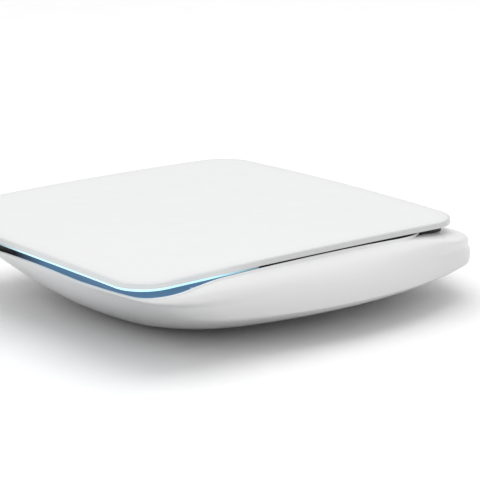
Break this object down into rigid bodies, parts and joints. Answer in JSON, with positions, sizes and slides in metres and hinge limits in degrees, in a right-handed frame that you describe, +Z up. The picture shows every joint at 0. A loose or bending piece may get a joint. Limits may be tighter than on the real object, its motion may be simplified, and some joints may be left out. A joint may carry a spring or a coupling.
{
  "type": "smart home gateway",
  "caption": "Flat table-top smart home gateway: a thin square panel floats over a dark neck and a pebble-shaped housing, with a lit front corner and ports at the rear.",
  "frame": {"origin": "middle of the whole object's footprint, on the surface that its rubber feet stand on", "axes": "+Z up; the lit front faces -Y; the ports face +Y; the lit side is +X"},
  "size_m": [0.1036, 0.1087, 0.0227],
  "materials": {
    "panel": "gloss",
    "shell": "satin",
    "neck": "matte",
    "carrier": "matte",
    "light_guide": "frosted",
    "light_board": "satin",
    "lights": "gloss",
    "flat_cable": "satin",
    "cable_socket": "matte",
    "rear_wall": "matte",
    "circuit_board": "satin",
    "chip": "matte",
    "heat_pad": "matte",
    "shield": "brushed",
    "module_board": "satin",
    "antenna": "satin",
    "lead": "satin",
    "insulator": "matte",
    "contacts": "polished",
    "centre_pin": "polished",
    "button": "satin",
    "plunger": "matte",
    "can_metal": "satin",
    "coil": "matte",
    "screw_steel": "satin",
    "foot": "matte"
  },
  "bodies": {
    "base": {"top_panel": "panel", "neck_frame": "neck", "light_guide": "light_guide", "housing": "shell", "panel_carrier": "carrier", "led_board": "light_board", "status_leds": "lights", "led_ribbon": "flat_cable", "ribbon_sockets": "cable_socket", "port_panel": "rear_wall", "main_board": "circuit_board", "processor": "chip", "memory_chip": "chip", "flash_chip": "chip", "thermal_pad": "heat_pad", "shield_can": "shield", "zigbee_module": "module_board", "zigbee_shield": "shield", "wifi_module": "module_board", "wifi_shield": "shield", "wifi_antenna": "antenna", "antenna_lead": "lead", "ethernet_jack": "insulator", "ethernet_shell": "shield", "ethernet_contacts": "contacts", "ethernet_magnetics": "insulator", "power_jack": "insulator", "power_jack_pin": "centre_pin", "pairing_switch": "insulator", "reset_switch": "insulator", "capacitors": "can_metal", "inductors": "coil", "crystals": "can_metal", "regulators": "chip", "board_screws": "screw_steel", "housing_screws": "screw_steel", "rubber_feet": "foot"},
    "pairing_button": {"pairing_button": "button"},
    "pairing_plunger": {"pairing_plunger": "plunger"},
    "reset_plunger": {"reset_plunger": "plunger"}
  },
  "joints": [
    {"name": "pairing_button_slide", "type": "slide", "parent": "base", "child": "pairing_button", "axis": [0, -1, 0], "range_m": [0, 0.0004], "stiffness_N_per_m": 4000},
    {"name": "pairing_plunger_slide", "type": "slide", "parent": "base", "child": "pairing_plunger", "axis": [0, -1, 0], "range_m": [0, 0.0004]},
    {"name": "reset_plunger_slide", "type": "slide", "parent": "base", "child": "reset_plunger", "axis": [0, -1, 0], "range_m": [0, 0.00025], "stiffness_N_per_m": 4000}
  ],
  "couplings": [
    {"joint": "pairing_plunger_slide", "follows": "pairing_button_slide", "ratio": 1}
  ]
}
